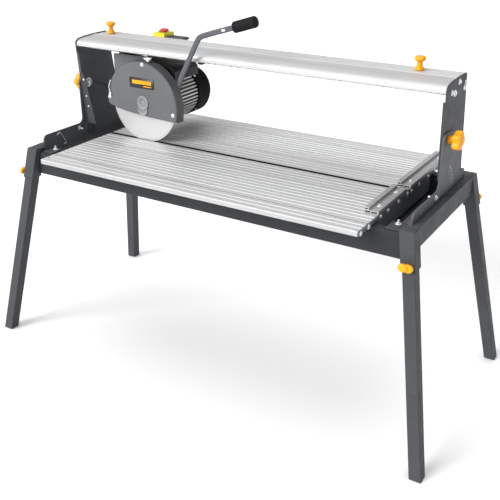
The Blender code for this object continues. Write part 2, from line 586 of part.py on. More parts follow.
def handle(head):
    """A flat bar cranked forward past the beam, then bent along it, with a rubber grip."""
    width, thick, points = 0.0080, 0.0045, 16
    path = [HANDLE[0], HANDLE[1].lerp(HANDLE[0], 0.25), HANDLE[1].lerp(HANDLE[2], 0.12)]
    path += [HANDLE[2].lerp(HANDLE[1], 0.16), HANDLE[2].lerp(HANDLE[1], 0.06) + Vector((0.003, 0, 0)),
             HANDLE[2].lerp(HANDLE[3], 0.08) + Vector((0, 0, -0.003)), HANDLE[2].lerp(HANDLE[3], 0.2), HANDLE[4]]
    loops = []
    for i, at in enumerate(path):
        ahead = (path[min(i + 1, len(path) - 1)] - path[max(i - 1, 0)]).normalized()
        across = Vector((0, 1, 0)).cross(ahead).normalized()
        normal = ahead.cross(across)
        ring = []
        for k in range(points):
            turn = math.tau * k / points
            c, s = math.cos(turn), math.sin(turn)
            ring.append(at + across * width * math.copysign(abs(c) ** 0.6, c)
                        + normal * thick * math.copysign(abs(s) ** 0.6, s))
        loops.append(ring)
    loft("handle_arm", loops, GREY_PAINT, parent=head)
    start, end = HANDLE[3], HANDLE[4]
    ahead = (end - start).normalized()
    length = (end - start).length + 0.003
    bore = width + GAP
    profile = [(bore, 0), (0.0145, 0), (0.0165, 0.003), (0.0165, length + 0.001), (0.0135, length + 0.006),
               (0, length + 0.007), (0, length), (bore, length)]
    turned("handle_grip", profile, RUBBER, start, ahead, head, 24)


# Assembly ---------------------------------------------------------------------------------

knob_at = (PIVOT_Y + KNOB_RADIUS * math.sin(KNOB_ANGLE), PIVOT_Z + KNOB_RADIUS * math.cos(KNOB_ANGLE))
tilt_axis = empty("tilt_axis", (0, PIVOT_Y, PIVOT_Z))
slide_axis = empty("slide_axis", (0, ROD_YS[0], ROD_Z))
plunge_axis = empty("plunge_axis", PLUNGE)
spin_axis = empty("spin_axis", BLADE)

for corner, sx, sy, on_x in (("front_left", -1, -1, True), ("front_right", 1, -1, False),
                             ("rear_left", -1, 1, True), ("rear_right", 1, 1, False)):
    leg_set(corner, sx, sy, on_x)
for place, sign in (("left", -1), ("right", 1)):
    end_rail(f"{place}_end_rail", sign)
    table_end_plate(f"table_end_plate_{place}", sign)
    tilt_bracket(f"tilt_bracket_{place}", sign, knob_at)
    tilt_knob(f"tilt_knob_{place}", sign, knob_at)
    upright(f"upright_{place}", sign, tilt_axis)
side_rail("front_rail", -1)
side_rail("rear_rail", 1)
panel("table_front_panel", TABLE_FRONT, SLOT_Y - SLOT_WIDTH / 2)
panel("table_rear_panel", SLOT_Y + SLOT_WIDTH / 2, TABLE_BACK)
fence_rail("fence_rail_front", 0.493, -0.195, 0.000)
fence_rail("fence_rail_rear", 0.495, 0.025, 0.340)
tray()
beam(tilt_axis)
switch_gear(tilt_axis)
carriage(slide_axis)
head_arm(plunge_axis)
guard(plunge_axis)
motor(plunge_axis)
handle(plunge_axis)
blade_set(spin_axis)
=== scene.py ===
"""Looks of the bridge tile saw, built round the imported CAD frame. Metres, +X right, +Y back, +Z up."""
import json
import math

import bmesh
import bpy
from mathutils import Matrix, Vector


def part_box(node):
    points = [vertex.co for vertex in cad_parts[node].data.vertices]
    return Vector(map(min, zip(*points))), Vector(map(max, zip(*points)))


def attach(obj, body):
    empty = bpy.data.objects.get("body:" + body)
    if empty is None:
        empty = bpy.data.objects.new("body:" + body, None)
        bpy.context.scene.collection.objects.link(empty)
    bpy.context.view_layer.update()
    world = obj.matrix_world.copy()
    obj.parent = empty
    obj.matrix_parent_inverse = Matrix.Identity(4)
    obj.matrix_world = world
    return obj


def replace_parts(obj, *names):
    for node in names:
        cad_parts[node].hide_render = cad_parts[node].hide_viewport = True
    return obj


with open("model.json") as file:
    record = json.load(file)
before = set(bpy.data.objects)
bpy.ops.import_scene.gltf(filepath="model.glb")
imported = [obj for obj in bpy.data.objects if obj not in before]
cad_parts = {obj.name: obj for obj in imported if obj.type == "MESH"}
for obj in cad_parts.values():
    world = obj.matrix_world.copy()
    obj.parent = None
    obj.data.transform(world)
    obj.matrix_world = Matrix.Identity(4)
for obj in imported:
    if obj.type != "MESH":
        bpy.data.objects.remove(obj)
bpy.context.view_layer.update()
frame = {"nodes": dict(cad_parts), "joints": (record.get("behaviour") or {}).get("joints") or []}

NODES = frame["nodes"]
SIDES = (("left", -1), ("right", 1))


def middle(node):
    low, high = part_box(node)
    return (low + high) / 2


def joint(name):
    return next(j for j in frame["joints"] if j["name"] == name)


# Materials --------------------------------------------------------------------------------

def grey(value, tint=0.0):
    """A neutral linear colour; tint makes it bluer."""
    return (value * (1 - tint), value, value * (1 + tint * 2), 1)


class Shade:
    """One Principled material with its node tree."""

    def __init__(self, name, **sockets):
        self.mat = bpy.data.materials.new(name)
        self.mat.use_nodes = True
        self.shader = self.mat.node_tree.nodes["Principled BSDF"]
        for socket, value in sockets.items():
            self.shader.inputs[socket.replace("_", " ")].default_value = value
        self.coords = self.make("TexCoord").outputs["Object"]
        self.normal = None

    def make(self, kind, inputs=None, **settings):
        made = self.mat.node_tree.nodes.new("ShaderNode" + kind)
        for key, value in settings.items():
            setattr(made, key, value)
        for key, value in (inputs or {}).items():
            if isinstance(value, bpy.types.NodeSocket):
                self.mat.node_tree.links.new(value, made.inputs[key])
            else:
                made.inputs[key].default_value = value
        return made

    def noise(self, scale, stretch=(1, 1, 1), detail=4.0, vector=None):
        place = self.make("Mapping", {"Vector": vector or self.coords, "Scale": stretch})
        made = self.make("TexNoise", {"Vector": place.outputs[0], "Scale": scale, "Detail": detail})
        return made.outputs[0]

    def span(self, value, low, high, to_low=0.0, to_high=1.0):
        """Maps a value from one span to another, held within it."""
        return self.make("MapRange", {0: value, 1: low, 2: high, 3: to_low, 4: to_high}).outputs[0]

    def calc(self, operation, a, b=0.0):
        return self.make("Math", {0: a, 1: b}, operation=operation).outputs[0]

    def mix(self, factor, a, b):
        return self.make("Mix", {0: factor, 6: a, 7: b}, data_type="RGBA").outputs[2]

    def reach(self, centre, along):
        """Distance from a line through centre; along is the number of its world axis, 0 to 2."""
        apart = self.make("VectorMath", {0: self.coords, 1: tuple(centre)}, operation="SUBTRACT").outputs[0]
        flat = [1.0, 1.0, 1.0]
        flat[along] = 0.0
        apart = self.make("VectorMath", {0: apart, 1: tuple(flat)}, operation="MULTIPLY").outputs[0]
        return self.make("VectorMath", {0: apart}, operation="LENGTH").outputs["Value"]

    def edges(self, radius):
        """1 along the sharp edges of the mesh, 0 on its flats; the same node rounds the shading there."""
        bevel = self.make("Bevel", {"Radius": radius}, samples=4)
        self.normal = bevel.outputs[0]
        plain = self.make("NewGeometry").outputs["Normal"]
        same = self.make("VectorMath", {0: self.normal, 1: plain}, operation="DOT_PRODUCT").outputs["Value"]
        return self.span(same, 0.98, 0.70)

    def bump(self, height, strength, distance):
        inputs = {"Height": height, "Strength": strength, "Distance": distance}
        if self.normal:
            inputs["Normal"] = self.normal
        self.normal = self.make("Bump", inputs).outputs[0]

    def done(self, colour, roughness):
        links, inputs = self.mat.node_tree.links, self.shader.inputs
        links.new(colour, inputs["Base Color"])
        links.new(roughness, inputs["Roughness"])
        if self.normal:
            links.new(self.normal, inputs["Normal"])
        return self.mat


def powder_coat(name, value, edge_wear_and_highlight, tint=0.05, gloss=0.52, edge=0.0012, sheen=0.16):
    """Satin powder coat: orange peel, faint mottling, specks, scuffs and edges lightened partly by wear, partly
    as a painted highlight.
    """
    shade = Shade(name, Specular_IOR_Level=sheen)
    rim = shade.edges(edge)
    cloud = shade.noise(7.0, detail=5)
    colour = shade.mix(shade.span(cloud, 0.3, 0.7), grey(value * 0.90, tint), grey(value * 1.10, tint))
    speck = shade.span(shade.noise(420, detail=2), 0.60, 0.72, 0, 0.35)
    colour = shade.mix(speck, colour, grey(value * 1.45, tint))
    scuff = shade.span(shade.noise(26, (1, 1, 3), detail=7), 0.60, 0.70, 0, 0.16)
    colour = shade.mix(scuff, colour, grey(value * 1.8, tint))
    # Edge lightening: partly wear, partly a painted highlight along every sharp edge.
    rubbed_and_highlit_edges = shade.calc("MULTIPLY", rim, shade.span(shade.noise(60, detail=6), 0.32, 0.62, 0.30, 1.0))
    colour = shade.mix(shade.calc("MULTIPLY", rubbed_and_highlit_edges, 0.75), colour, grey(edge_wear_and_highlight, tint))
    shade.bump(shade.noise(1100, detail=2), 0.22, 0.0002)
    rough = shade.span(shade.noise(34, detail=6), 0.3, 0.7, gloss - 0.05, gloss + 0.11)
    return shade.done(colour, rough)


def drawn_aluminium(name, value, along=0, metallic=0.60):
    """Extruded, anodised aluminium: long die lines, slight stains and dull scratches."""
    shade = Shade(name, Metallic=metallic)
    rim = shade.edges(0.0006)
    stretch = [380.0, 380.0, 380.0]
    stretch[along] = 1.6
    lines = shade.noise(1.0, stretch, detail=6)
    broad = [46.0, 46.0, 46.0]
    broad[along] = 0.8
    bands = shade.noise(1.0, broad, detail=3)
    colour = shade.mix(shade.span(lines, 0.28, 0.72), grey(value * 0.86, 0.004), grey(value * 1.10, 0.004))
    colour = shade.mix(shade.span(bands, 0.35, 0.65, 0, 0.30), colour, grey(value * 0.78, 0.004))
    stain = shade.span(shade.noise(9, (1, 1, 1), detail=8), 0.56, 0.72, 0, 0.25)
    colour = shade.mix(stain, colour, grey(value * 0.86, -0.01))
    fine = [900.0, 900.0, 900.0]
    fine[along] = 5.0
    scratch = shade.span(shade.noise(1.0, fine, detail=2), 0.62, 0.70)
    colour = shade.mix(shade.calc("MULTIPLY", scratch, 0.30), colour, grey(value * 0.62))
    # Painted highlight: every sharp edge is lightened.
    colour = shade.mix(shade.calc("MULTIPLY", rim, 0.5), colour, grey(min(0.95, value * 1.35)))
    shade.bump(lines, 0.35, 0.0003)
    rough = shade.span(lines, 0.3, 0.7, 0.42, 0.58)
    return shade.done(colour, rough)


def cast_fins(name, centre, inner, outer):
    """Die-cast motor body: painted shade darkens the gaps between the fins, and a painted highlight lightens the
    fin edges.
    """
    shade = Shade(name, Metallic=0.7)
    rim = shade.edges(0.0005)
    # Painted shade: the colour runs from the fin tips down to near black at the bottom of the gaps.
    out = shade.span(shade.reach(centre, 1), inner, outer)
    pits = shade.noise(300, detail=6)
    colour = shade.mix(out, grey(0.035), grey(0.62, -0.006))
    colour = shade.mix(shade.span(pits, 0.35, 0.7, 0, 0.35), colour, grey(0.22))
    # Painted highlight along every sharp fin edge.
    colour = shade.mix(shade.calc("MULTIPLY", rim, 0.45), colour, grey(0.85))
    shade.bump(pits, 0.35, 0.0005)
    return shade.done(colour, shade.span(pits, 0.3, 0.7, 0.38, 0.60))


def zinc(name, value=0.80):
    """Zinc-plated steel: blotchy plating with a fine grain."""
    shade = Shade(name, Metallic=0.6)
    rim = shade.edges(0.0003)
    cloud = shade.noise(120, detail=6)
    colour = shade.mix(shade.span(cloud, 0.3, 0.7), grey(value * 0.75, 0.01), grey(value * 1.2, 0.01))
    # Painted highlight along every sharp edge.
    colour = shade.mix(shade.calc("MULTIPLY", rim, 0.5), colour, grey(0.92))
    shade.bump(shade.noise(900, detail=3), 0.2, 0.0002)
    return shade.done(colour, shade.span(cloud, 0.3, 0.7, 0.22, 0.42))


def moulded(name, colour, light, gloss=0.36, grain=900, depth=0.0002, sheen=0.4):
    """Moulded plastic: fine spark-eroded grain, slight flow marks, light dust and a painted highlight along every
    sharp edge.
    """
    shade = Shade(name, Specular_IOR_Level=sheen)
    rim = shade.edges(0.0008)
    flow = shade.noise(22, (1, 1, 0.4), detail=5)
    dark = tuple(c * 0.88 for c in colour) + (1,)
    base = shade.mix(shade.span(flow, 0.3, 0.7), dark, (*colour, 1))
    # Painted highlight: sharp edges lightened toward the light colour, which also serves as the dust colour
    # below.
    base = shade.mix(shade.calc("MULTIPLY", rim, 0.45), base, (*light, 1))
    dust = shade.span(shade.noise(300, detail=4), 0.62, 0.74, 0, 0.12)
    base = shade.mix(dust, base, (*light, 1))
    shade.bump(shade.noise(grain, detail=3), 0.25, depth)
    return shade.done(base, shade.span(flow, 0.3, 0.7, gloss - 0.05, gloss + 0.10))


def blade_steel(name, centre, rim_from, rim_to):
    """Ground steel disc with concentric marks and a gritty sintered rim."""
    shade = Shade(name, Metallic=0.35)
    edge = shade.edges(0.0004)
    reach = shade.reach(centre, 1)
    ring = shade.make("CombineXYZ", {0: reach}).outputs[0]
    lines = shade.noise(1400, detail=3, vector=ring)
    colour = shade.mix(shade.span(lines, 0.3, 0.7), grey(0.47), grey(0.56))
    colour = shade.mix(shade.span(shade.noise(14, detail=6), 0.5, 0.7, 0, 0.22), colour, grey(0.40, -0.006))
    rim = shade.span(reach, rim_from, rim_to)
    grit = shade.noise(1500, detail=5)
    gritty = shade.mix(shade.span(grit, 0.35, 0.65), grey(0.34), grey(0.56))
    colour = shade.mix(rim, colour, gritty)
    # Painted highlight along every sharp edge.
    colour = shade.mix(shade.calc("MULTIPLY", edge, 0.4), colour, grey(0.8))
    relief = shade.calc("ADD", shade.calc("MULTIPLY", lines, 0.3), shade.calc("MULTIPLY", grit, rim))
    shade.bump(relief, 0.3, 0.0003)
    return shade.done(colour, shade.span(lines, 0.3, 0.7, 0.36, 0.50))


def rubber(name, value=0.007):
    """Dull black rubber, with a painted highlight that makes its edges a little paler."""
    shade = Shade(name, Specular_IOR_Level=0.12)
    rim = shade.edges(0.0008)
    cloud = shade.noise(40, detail=6)
    colour = shade.mix(shade.span(cloud, 0.3, 0.7), grey(value), grey(value * 1.9))
    # Painted highlight along every sharp edge.
    colour = shade.mix(shade.calc("MULTIPLY", rim, 0.5), colour, grey(value * 4))
    shade.bump(shade.noise(700, detail=4), 0.35, 0.0003)
    return shade.done(colour, shade.span(cloud, 0.3, 0.7, 0.50, 0.68))


BLADE = middle("blade")
BLADE_R = (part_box("blade")[1].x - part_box("blade")[0].x) / 2
MOTOR = middle("motor_housing")
MOTOR_R = (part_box("motor_housing")[1].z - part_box("motor_housing")[0].z) / 2

FRAME_PAINT = powder_coat("frame_powder_coat", 0.055, 0.19)
# Lighter copy of the frame grey for the left upright, the tilt brackets and the handle bar: painted light that
# makes up for the shade they sit in.
FRAME_PAINT_LIT = powder_coat("frame_powder_coat_lit", 0.098, 0.20)
# Much lighter copy of the frame grey for the table's end plates: painted light that makes up for the table's
# shadow over them.
PLATE_PAINT_LIT = powder_coat("plate_powder_coat_lit", 0.165, 0.34)
# Lighter copy of the guard grey for the two dishes: a painted highlight on their faces.
DISH_PAINT_HIGHLIT = powder_coat("dish_powder_coat_highlit", 0.27, 0.55, tint=0.02, edge=0.0016)
# Darker copy of the frame grey for the front rail: painted shade from the table's overhang.
RAIL_PAINT_SHADED = powder_coat("rail_powder_coat_shaded", 0.029, 0.12)
GUARD_PAINT = powder_coat("guard_powder_coat", 0.126, 0.42, tint=0.02, edge=0.0016)
BLACK_PAINT = powder_coat("casting_black", 0.009, 0.06, tint=0.0, gloss=0.44, sheen=0.25)
TABLE_METAL = drawn_aluminium("table_aluminium", 0.64)
BEAM_METAL = drawn_aluminium("beam_aluminium", 0.56)
EDGE_METAL = drawn_aluminium("edge_aluminium", 0.50)
FENCE_METAL = drawn_aluminium("fence_aluminium", 0.46, along=1)
FINS = cast_fins("cast_motor", MOTOR, MOTOR_R - 0.007, MOTOR_R - 0.001)
ZINC = zinc("zinc_plate")
BLADE_METAL = blade_steel("blade_face", BLADE, BLADE_R - 0.008, BLADE_R - 0.007)
ORANGE = moulded("orange_plastic", (0.92, 0.36, 0.004), (0.96, 0.50, 0.05), sheen=0.32)
BLACK = moulded("black_plastic", (0.003, 0.003, 0.0033), (0.018, 0.018, 0.018), gloss=0.55, sheen=0.05)
# The tray's dark grey raised well above its own tone: painted light that makes up for the shade under the table.
TRAY_GREY_LIT = moulded("tray_plastic_lit", (0.110, 0.111, 0.116), (0.12, 0.12, 0.13), gloss=0.46, grain=500)
YELLOW = moulded("yellow_plastic", (0.74, 0.66, 0.02), (0.90, 0.84, 0.20))
RED = moulded("red_plastic", (0.52, 0.030, 0.030), (0.80, 0.22, 0.20), gloss=0.30)
GREEN = moulded("green_plastic", (0.05, 0.36, 0.05), (0.20, 0.60, 0.18), gloss=0.30)
PALE = moulded("print_white", (0.62, 0.62, 0.60), (0.75, 0.75, 0.73), gloss=0.45)
LABEL = moulded("label_black", (0.012, 0.012, 0.013), (0.05, 0.05, 0.05), gloss=0.30)
# Dark strip colour that stands for the shadow of a step in the table top: painted shadow.
STEP = moulded("step_shadow", (0.20, 0.20, 0.20), (0.40, 0.40, 0.40), gloss=0.50)
SEAM = moulded("seam_dark", (0.10, 0.10, 0.10), (0.20, 0.20, 0.20), gloss=0.55)
RUBBER = rubber("grip_rubber")


# Meshes -----------------------------------------------------------------------------------

def turn_to(axis, at=(0, 0, 0), spin=0.0):
    """Places a local +Z along axis."""
    turned = Vector(axis).to_track_quat("Z", "Y").to_matrix().to_4x4()
    return Matrix.Translation(at) @ turned @ Matrix.Rotation(spin, 4, "Z")


class Build:
    """Collects closed shells into one mesh piece."""

    def __init__(self):
        self.points, self.faces = [], []

    def stack(self, rings, place=Matrix()):
        """Skins rings that hold the same number of points, and caps both ends."""
        n, start = len(rings[0]), len(self.points)
        self.points += [place @ Vector(p) for ring in rings for p in ring]
        for k in range(len(rings) - 1):
            for i in range(n):
                j, a = (i + 1) % n, start + k * n
                self.faces.append((a + i, a + j, a + n + j, a + n + i))
        self.faces.append(tuple(range(start, start + n))[::-1])
        self.faces.append(tuple(start + (len(rings) - 1) * n + i for i in range(n)))
        return self

    def lathe(self, profile, at, axis=(0, 0, 1), segments=28):
        """A (radius, height) profile turned about axis; a ring of radius 0 becomes a small flat cap."""
        turns = [math.tau * i / segments for i in range(segments)]
        rings = []
        for radius, height in profile:
            radius = max(radius, 2e-4)
            rings.append([(radius * math.cos(turn), radius * math.sin(turn), height) for turn in turns])
        return self.stack(rings, turn_to(axis, at))

    def tube(self, profile, at, axis=(0, 0, 1), segments=28):
        """Like lathe, but the profile is a closed loop round a hole."""
        start, n, place = len(self.points), len(profile), turn_to(axis, at)
        for i in range(segments):
            turn = math.tau * i / segments
            self.points += [place @ Vector((r * math.cos(turn), r * math.sin(turn), h)) for r, h in profile]
        for i in range(segments):
            a, b = start + i * n, start + (i + 1) % segments * n
            self.faces += [(a + k, b + k, b + (k + 1) % n, a + (k + 1) % n) for k in range(n)]
        return self

    def slab(self, outline, axis, low, high, edge=0.0):
        """An outline swept along a world axis, its far edge drawn in by edge to round it."""
        middle_point = [sum(p[k] for p in outline) / len(outline) for k in (0, 1)]

        def ring(at, inset):
            made = []
            for p in outline:
                away = Vector((p[0] - middle_point[0], p[1] - middle_point[1]))
                p = tuple(Vector(p) - away.normalized() * inset)
                made.append(p[:axis] + (at,) + p[axis:])
            return made

        step = edge if high > low else -edge
        rings = [ring(low, 0), ring(high - step, 0)]
        if edge:
            rings += [ring(high - step * 0.3, edge * 0.3), ring(high, edge)]
        return self.stack(rings)

    def block(self, low, high, edge=0.0):
        outline = [(low[0], low[1]), (high[0], low[1]), (high[0], high[1]), (low[0], high[1])]
        return self.slab(outline, 2, low[2], high[2], edge)

    def sweep(self, path, section, up=(0, 1, 0)):
        """A (side, normal) section carried along a path."""
        rings = []
        for i, at in enumerate(path):
            ahead = (path[min(i + 1, len(path) - 1)] - path[max(i - 1, 0)]).normalized()
            side = Vector(up).cross(ahead).normalized()
            normal = ahead.cross(side)
            rings.append([at + side * s + normal * t for s, t in section])
        return self.stack(rings)

    def done(self, name, mat, body, slot=None, bevel=0.0, smooth=38):
        """Makes the piece and rides it on its body."""
        mesh = bpy.data.meshes.new(name)
        mesh.from_pydata([tuple(p) for p in self.points], [], self.faces)
        mesh.materials.append(mat)
        made = bpy.data.objects.new(name, mesh)
        bpy.context.scene.collection.objects.link(made)
        face_out(mesh)
        mesh.shade_smooth()
        mesh.set_sharp_from_angle(angle=math.radians(smooth))
        if bevel:
            soften(made, bevel)
        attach(made, body)
        return made


def face_out(mesh):
    """Turns every face outwards."""
    work = bmesh.new()
    work.from_mesh(mesh)
    bmesh.ops.recalc_face_normals(work, faces=work.faces)
    work.to_mesh(mesh)
    work.free()


def soften(obj, width, segments=2):
    """Real rounded edges, with the flats kept flat in shading."""
    step = obj.modifiers.new("edge", "BEVEL")
    step.width, step.segments, step.limit_method = width, segments, "ANGLE"
    step.angle_limit = math.radians(40)
    step.miter_outer = "MITER_ARC"
    flat = obj.modifiers.new("flats", "WEIGHTED_NORMAL")
    flat.keep_sharp = True


def circle(radius, points, squash=1.0, power=1.0):
    """A round or squarish section of (side, normal) points."""
    made = []
    for i in range(points):
        c, s = math.cos(math.tau * i / points), math.sin(math.tau * i / points)
        across, up = math.copysign(abs(c) ** power, c), math.copysign(abs(s) ** power, s)
        made.append((radius * across, radius * squash * up))
    return made


def curve_through(points, steps):
    """A Catmull-Rom path through points."""
    made = []
    ends = [points[0] * 2 - points[1], *points, points[-1] * 2 - points[-2]]
    for a, b, c, d in zip(ends, ends[1:], ends[2:], ends[3:]):
        for i in range(steps):
            t = i / steps
            made.append(0.5 * ((2 * b) + (c - a) * t + (2 * a - 5 * b + 4 * c - d) * t ** 2
                               + (3 * b - a - 3 * c + d) * t ** 3))
    return [*made, points[-1]]


def pan_screw(build, at, axis, radius, spin=0.4):
    """A domed head with a cross recess, on a thin washer."""
    count, height = 32, radius * 0.62
    washer = [(radius * 1.32, -0.0002), (radius * 1.32, 0.0006), (radius * 1.22, 0.0009), (0, 0.0009)]
    build.lathe(washer, at, axis, 32)

    def ring(r, z, cross=False):
        made = []
        for i in range(count):
            turn = math.tau * i / count
            reach = r
            if cross and (i + 1) % 8 > 2:
                reach = r * 0.36
            made.append((reach * math.cos(turn), reach * math.sin(turn), z))
        return made

    rings = [ring(radius * 0.96, 0.0006), ring(radius, 0.0011), ring(radius * 0.93, height * 0.72),
             ring(radius * 0.74, height * 0.94), ring(radius * 0.58, height),
             ring(radius * 0.50, height, True), ring(radius * 0.38, height * 0.45, True)]
    build.stack(rings, turn_to(axis, at, spin))


def hex_bolt(build, at, axis, flats, height, shank=0.0):
    """A washer, a chamfered hexagon head and, on its far side, a plain end."""
    corner = flats / math.sqrt(3)
    washer = [(corner * 1.45, -0.0002), (corner * 1.45, 0.0008), (corner * 1.36, 0.0011), (0, 0.0011)]
    build.lathe(washer, at, axis)

    def ring(r, z):
        made = []
        for i in range(24):
            turn = math.tau * i / 24
            part = (turn + math.pi / 6) % (math.pi / 3) - math.pi / 6
            flat = flats / 2 / math.cos(part)
            made.append((min(r, flat) * math.cos(turn), min(r, flat) * math.sin(turn), z))
        return made

    rings = [ring(corner, 0.0009), ring(corner, height * 0.78), ring(corner * 0.94, height * 0.93),
             ring(corner * 0.86, height), ring(corner * 0.45, height), ring(corner * 0.40, height - 0.0004)]
    build.stack(rings, turn_to(axis, at, 0.2))
    if shank:
        build.lathe([(corner * 0.55, height - 0.0002), (corner * 0.55, height + shank - 0.0006),
                     (corner * 0.45, height + shank), (0, height + shank)], at, axis)


# Frame ------------------------------------------------------------------------------------

PAINTS = {
    "grey_paint": FRAME_PAINT, "guard_paint": GUARD_PAINT, "aluminium": TABLE_METAL,
    "cast_aluminium": FINS, "blade_steel": BLADE_METAL, "zinc_steel": ZINC, "orange_plastic": ORANGE,
    "black_plastic": BLACK, "black_cast": BLACK_PAINT, "black_rubber": RUBBER,
    "yellow_plastic": YELLOW, "red_plastic": RED, "green_plastic": GREEN,
}
SPECIAL = (
    (BEAM_METAL, ("bridge_beam",)),
    (FENCE_METAL, ("fence_rail",)),
    # The tray takes a lightened copy of its grey: painted light for the shade under the table.
    (TRAY_GREY_LIT, ("water_tray",)),
    (FRAME_PAINT, ("pivot_stud",)),
    # The end plates take a much lighter copy of the frame grey: painted light for the table's shadow over them.
    (PLATE_PAINT_LIT, ("table_end_plate",)),
    # The left upright and tilt brackets take a lighter copy of the frame grey: painted light for their shade.
    (FRAME_PAINT_LIT, ("upright_left", "tilt_bracket")),
    # The front rail takes a darker copy of the frame grey: painted shade from the table overhang.
    (RAIL_PAINT_SHADED, ("front_rail",)),
)
FAMILIES = (
    ("orange_plastic", ("leg_knob", "tilt_knob", "transport_knob")),
    ("aluminium", ("table_front", "table_rear")),
    ("zinc_steel", ("guide_rod", "roller", "guard_latch", "guard_wing", "motor_shaft", "blade_flange")),
    ("blade_steel", ("blade",)),
    ("guard_paint", ("guard_back", "guard_cover")),
    ("cast_aluminium", ("motor_housing",)),
    ("black_cast", ("carriage", "head_arm")),
    ("black_plastic", ("fan_cover", "water_", "drain_")),
    ("black_rubber", ("handle_grip",)),
    ("yellow_plastic", ("switch_box",)),
    ("red_plastic", ("stop_button",)),
    ("green_plastic", ("start_button",)),
    ("grey_paint", ("",)),
)


def repaint():
    """A material for every CAD node that stays: by name where it is special, or by family."""
    for name, node in NODES.items():
        family = next(paint for paint, starts in FAMILIES if name.startswith(starts))
        mat = next((mat for mat, starts in SPECIAL if name.startswith(starts)), PAINTS[family])
        node.data.materials.clear()
        node.data.materials.append(mat)
        for face in node.data.polygons:
            face.material_index = 0


ROUNDED = {"leg_": 0.0030, "front_rail": 0.0012, "rear_rail": 0.0012, "left_end": 0.0014, "right_end": 0.0014,
           "switch_box": 0.0022, "table_end_plate": 0.0008}


def round_edges():
    """Rounded edges for the plain folded and tubular nodes."""
    for name, node in NODES.items():
        for start, width in ROUNDED.items():
            if name.startswith(start) and "knob" not in name:
                weld = node.modifiers.new("weld", "WELD")
                weld.merge_threshold = 2e-5
                soften(node, width, 3)


repaint()
round_edges()


def table_details():
    """Seams between the planks, a ridge band, a dark band of painted step shadow, the slot's lining, the end
    screws and two plain holes.
    """
    low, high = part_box("table_front_panel")
    rear_low, rear_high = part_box("table_rear_panel")
    top, span = high.z, 0.0005
    for name, mat, spots, half, rise in (
            ("table_seams", SEAM, (low.y + 0.242, rear_high.y - 0.0655), 0.0007, -0.0006),
            # A flush dark strip: painted shadow of a step in the table top.
            ("table_step_shadows", STEP, (low.y + 0.062,), 0.0024, -0.0003),
            ("table_ridge", BEAM_METAL, (rear_low.y + 0.0855,), 0.0027, -0.0001)):
        strip = Build()
        for y in spots:
            strip.block((low.x + span, y - half, top - 0.0011), (high.x - span, y + half, top + rise), 0.0002)
        strip.done(name, mat, "frame")
    lining = Build()
    for near, far in ((rear_low.y - 0.0008, rear_low.y + 0.0020), (high.y - 0.0018, high.y + 0.0008)):
        lining.block((low.x + span, near, low.z + span), (high.x - span, far, top + 0.0002), 0.0001)
    lining.done("slot_lining", RUBBER, "frame")
    strip = Build()
    near, far = low.y - 0.0003, low.y + 0.0003
    strip.block((low.x + span, near, low.z + span), (high.x - span, far, top - 0.0017), 0.0001)
    strip.done("table_front_strip", EDGE_METAL, "frame", "aluminium")
    screws = Build()
    spots = (0.010, 0.058, 0.134, 0.183, 0.257, 0.322, 0.352, 0.411, 0.485, 0.543)
    for place, side in SIDES:
        plate_low, plate_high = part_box(f"table_end_plate_{place}")
        x = plate_high.x if side > 0 else plate_low.x
        for i, y in enumerate(spots):
            pan_screw(screws, (x, low.y + y + 0.003, top - 0.0088), (side, 0, 0), 0.0056, 0.3 + i)
    screws.done("table_end_screws", ZINC, "frame", "zinc_steel")
    holes = Build()
    hole = [(0.0030, -0.0006), (0.0030, 0.00012), (0.0026, 0.0002), (0, 0.0002)]
    for x, y in ((low.x + 0.011, low.y + 0.025), (low.x + 0.011, rear_high.y - 0.025)):
        holes.lathe(hole, (x, y, top), segments=20)
    holes.done("table_corner_holes", SEAM, "frame")


def fence_details():
    """Two bolts and two low lips on each fence rail."""
    for place in ("front", "rear"):
        low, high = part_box(f"fence_rail_{place}")
        shelf = low.z + 0.0085
        screws = Build()
        for y in (low.y + 0.040, high.y - 0.040):
            hex_bolt(screws, (low.x + 0.0255, y, shelf), (0, 0, 1), 0.0085, 0.0038)
        screws.done(f"fence_screws_{place}", ZINC, "frame", "zinc_steel")
        lip = Build()
        for x in (low.x + 0.0155, high.x - 0.0022):
            lip.block((x, low.y + 0.0005, shelf - 0.0003),
                      (x + 0.0014, high.y - 0.0005, shelf + 0.0012), 0.0004)
        lip.done(f"fence_lips_{place}", FENCE_METAL, "frame", "aluminium")


def frame_bolts():
    """Bolts through the brackets, and a tab with its bolt in each corner of the frame."""
    bolts, tabs = Build(), Build()
    for place, side in SIDES:
        low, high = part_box(f"tilt_bracket_{place}")
        face = high.x if side > 0 else low.x
        back_face = low.x if side > 0 else high.x
        y, z = low.y + 0.166, low.z + 0.067
        hex_bolt(bolts, (face, y, z), (side, 0, 0), 0.010, 0.0045)
        hex_bolt(bolts, (back_face, y, z), (-side, 0, 0), 0.009, 0.0045, 0.012)
        for name, sign in (("front_rail", -1), ("rear_rail", 1)):
            rail_low, rail_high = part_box(name)
            x = side * (rail_high.x - 0.039)
            inner = rail_high.y if sign < 0 else rail_low.y
            near, far = sorted((inner + sign * 0.020, inner - sign * 0.030))
            tabs.block((x - 0.020, near, rail_high.z), (x + 0.020, far, rail_high.z + 0.0025), 0.0006)
            hex_bolt(bolts, (x, inner - sign * 0.017, rail_high.z + 0.0025), (0, 0, 1), 0.010, 0.0045, 0.007)
    tabs.done("corner_tabs", FRAME_PAINT, "frame", "grey_paint")
    bolts.done("frame_bolts", ZINC, "frame", "zinc_steel")


SCALE_FROM, SCALE_STEP, SCALE_MARKS = 32, 4.5, 10
SCALE_NUMBERS = ((0, "0"), (3, "15"), (6, "30"), (9, "45"))


def bracket_face(place, side, out):
    """The outer face of a tilt bracket in x, moved out by a little."""
    low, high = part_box(f"tilt_bracket_{place}")
    return side * (max(abs(low.x), abs(high.x)) + out)


